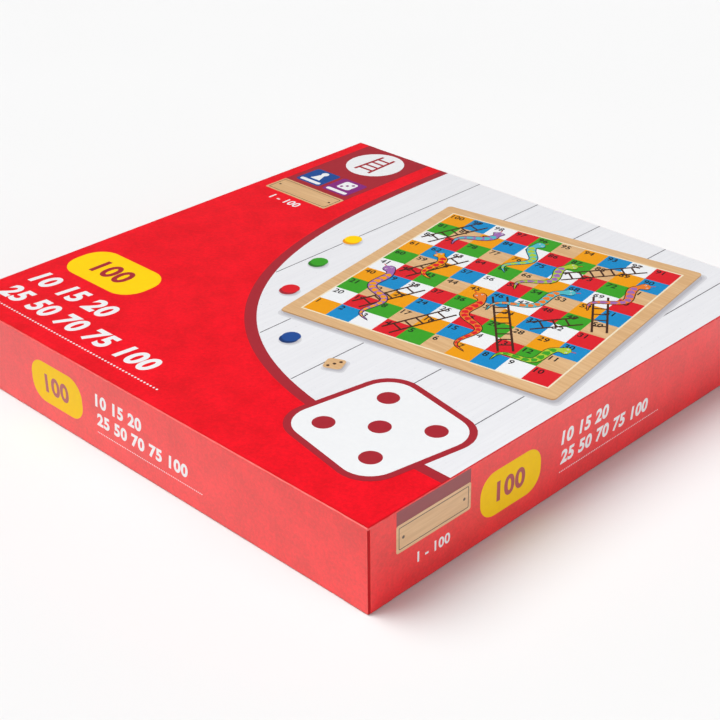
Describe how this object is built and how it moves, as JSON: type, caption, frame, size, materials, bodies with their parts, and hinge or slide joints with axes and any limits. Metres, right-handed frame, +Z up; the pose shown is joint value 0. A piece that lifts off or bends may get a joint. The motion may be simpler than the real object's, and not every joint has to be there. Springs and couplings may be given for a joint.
{
  "type": "boxed snakes and ladders board game",
  "caption": "Square board game in a paper-wrapped box with a lift-off lid, holding a wooden snakes and ladders board, counters and a die.",
  "frame": {"origin": "under the middle of the closed box, on the surface it stands on", "axes": "+Z up, through the lid; -Y the front, the side that the lid's print is read from; +X to the right"},
  "size_m": [0.31, 0.31, 0.045],
  "materials": {
    "greyboard": "uncoated grey pulp board",
    "gummed_tape": "gummed kraft tape",
    "printed_red_paper": "printed and gloss laminated",
    "plain_white_paper": "uncoated white",
    "kraft_card": "folded kraft card",
    "plywood": "sanded, printed and varnished",
    "yellow_painted_wood": "satin paint",
    "blue_painted_wood": "satin paint",
    "green_painted_wood": "satin paint",
    "red_painted_wood": "satin paint",
    "beech": "bare sanded beech"
  },
  "bodies": {
    "base": {"base_board": "greyboard", "base_corner_stays": "gummed_tape", "base_wrap": "plain_white_paper", "base_bottom_sheet": "plain_white_paper", "board_platform": "kraft_card", "piece_tray": "kraft_card"},
    "playing_board": {"playing_board": "plywood"},
    "lid": {"lid_board": "greyboard", "lid_corner_stays": "gummed_tape", "lid_wrap": "printed_red_paper"},
    "yellow_counter": {"yellow_counter": "yellow_painted_wood"},
    "blue_counter": {"blue_counter": "blue_painted_wood"},
    "green_counter": {"green_counter": "green_painted_wood"},
    "red_counter": {"red_counter": "red_painted_wood"},
    "die": {"die": "beech"}
  },
  "joints": [
    {"name": "board_lift", "type": "slide", "parent": "base", "child": "playing_board", "axis": [0, 0, 1], "range_m": [0, 0.06]},
    {"name": "lid_lift", "type": "slide", "parent": "playing_board", "child": "lid", "axis": [0, 0, 1], "range_m": [0, 0.09]},
    {"name": "yellow_counter_lift", "type": "slide", "parent": "base", "child": "yellow_counter", "axis": [0, 0, 1], "range_m": [0, 0.02]},
    {"name": "blue_counter_lift", "type": "slide", "parent": "base", "child": "blue_counter", "axis": [0, 0, 1], "range_m": [0, 0.02]},
    {"name": "green_counter_lift", "type": "slide", "parent": "base", "child": "green_counter", "axis": [0, 0, 1], "range_m": [0, 0.02]},
    {"name": "red_counter_lift", "type": "slide", "parent": "base", "child": "red_counter", "axis": [0, 0, 1], "range_m": [0, 0.02]},
    {"name": "die_lift", "type": "slide", "parent": "base", "child": "die", "axis": [0, 0, 1], "range_m": [0, 0.02]}
  ]
}
